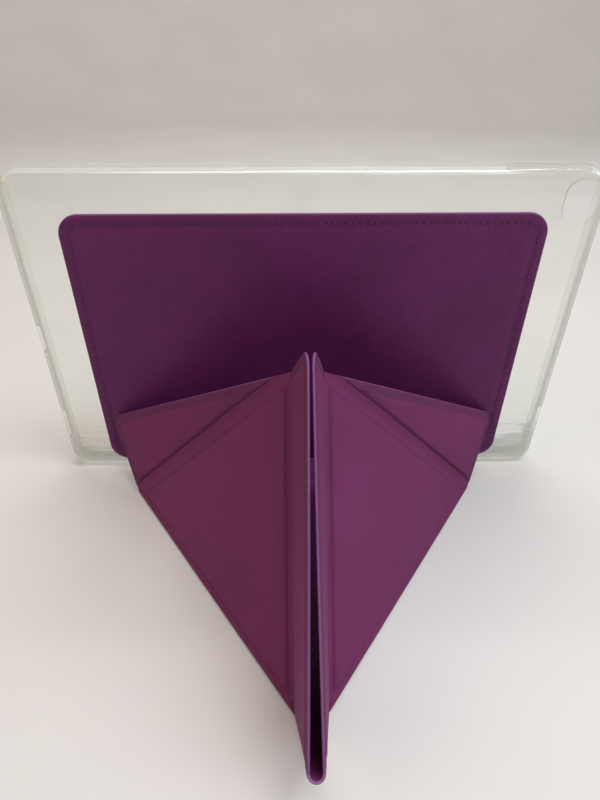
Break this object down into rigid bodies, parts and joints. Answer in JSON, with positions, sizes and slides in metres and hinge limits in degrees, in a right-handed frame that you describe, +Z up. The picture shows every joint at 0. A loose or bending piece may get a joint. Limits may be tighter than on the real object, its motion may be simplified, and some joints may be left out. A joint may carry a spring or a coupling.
{
  "type": "tablet stand",
  "caption": "Clear tablet tray whose purple cover folds into a hollow wedge with an upright fin that props the tray up from behind.",
  "frame": {"origin": "on the table, under the middle of the folded cover's base panel", "axes": "+Z up, +X to the right seen from the tablet's screen side, +Y from the tray towards the fin"},
  "size_m": [0.2486, 0.1861, 0.1585],
  "materials": {
    "clear_shell": "clear flexible moulding, smooth and glossy",
    "outer_leather": "purple coated leather with a fine grain",
    "lining": "purple smooth matte lining",
    "board": "grey fibre board",
    "magnet": "plated",
    "glue": "thin adhesive sheet",
    "thread": "purple sewing thread"
  },
  "bodies": {
    "tray_body": {"clear_tray": "clear_shell", "leather_back_panel": "outer_leather", "board_back_panel": "board", "glue_back_panel": "glue", "stitching_back_panel": "thread"},
    "web": {"leather_web": "outer_leather", "lining_web": "lining"},
    "spine": {"leather_spine": "outer_leather", "stiffener_spine": "board", "lining_spine": "lining"},
    "base_panel": {"board_base": "board", "leather_base": "outer_leather", "lining_base": "lining"},
    "side_left_panel": {"board_side_left": "board", "leather_side_left": "outer_leather", "lining_side_left": "lining"},
    "heel_left_panel": {"board_heel_left": "board", "leather_heel_left": "outer_leather", "lining_heel_left": "lining"},
    "fin_left_panel": {"board_fin_left": "board", "leather_fin_left": "outer_leather", "lining_fin_left": "lining", "magnets_fin_left": "magnet"},
    "side_right_panel": {"board_side_right": "board", "leather_side_right": "outer_leather", "lining_side_right": "lining"},
    "heel_right_panel": {"board_heel_right": "board", "leather_heel_right": "outer_leather", "lining_heel_right": "lining"},
    "fin_right_panel": {"board_fin_right": "board", "leather_fin_right": "outer_leather", "lining_fin_right": "lining", "magnets_fin_right": "magnet"}
  },
  "joints": [
    {"name": "web_hinge", "type": "hinge", "parent": "tray_body", "child": "web", "pos_m": [0, -0.08069, 0.00596], "axis": [1, 0, 0], "range_deg": [-81.73, 0]},
    {"name": "spine_hinge", "type": "hinge", "parent": "web", "child": "spine", "pos_m": [0, -0.07354, 0.00414], "axis": [1, 0, 0], "range_deg": [-90, 0]},
    {"name": "cover_hinge", "type": "hinge", "parent": "spine", "child": "base_panel", "pos_m": [0, -0.0608, 0.0009], "axis": [1, 0, 0], "range_deg": [-104.27, 0]},
    {"name": "fold", "type": "hinge", "parent": "base_panel", "child": "side_left_panel", "pos_m": [-0.04525, 0, 0.0009], "axis": [0.5472, 0.837, 0], "range_deg": [-112.11, 0]},
    {"name": "fin_left_fold", "type": "hinge", "parent": "side_left_panel", "child": "fin_left_panel", "pos_m": [-0.0055, 0.02497, 0.04915], "axis": [0, -0.5962, 0.8029], "range_deg": [-34.13, 0]},
    {"name": "heel_left_fold", "type": "hinge", "parent": "side_left_panel", "child": "heel_left_panel", "pos_m": [-0.04525, -0.03583, 0.04915], "axis": [0.5905, 0.371, 0.7167], "range_deg": [0, 20.7]},
    {"name": "side_right_fold", "type": "hinge", "parent": "base_panel", "child": "side_right_panel", "pos_m": [0.04525, 0, 0.0009], "axis": [0.5472, -0.837, 0], "range_deg": [-112.17, 0]},
    {"name": "fin_right_fold", "type": "hinge", "parent": "side_right_panel", "child": "fin_right_panel", "pos_m": [0.0055, 0.02497, 0.04915], "axis": [0, 0.5962, -0.8029], "range_deg": [-34.13, 0]},
    {"name": "heel_right_fold", "type": "hinge", "parent": "side_right_panel", "child": "heel_right_panel", "pos_m": [0.04525, -0.03583, 0.04915], "axis": [0.5905, -0.371, -0.7167], "range_deg": [0, 20.7]}
  ],
  "couplings": [
    {"joint": "fin_left_fold", "follows": "fold", "ratio": 0.30424},
    {"joint": "heel_left_fold", "follows": "fold", "ratio": -0.18455},
    {"joint": "side_right_fold", "follows": "fold", "ratio": 1},
    {"joint": "fin_right_fold", "follows": "fold", "ratio": 0.30424},
    {"joint": "heel_right_fold", "follows": "fold", "ratio": -0.18455}
  ]
}
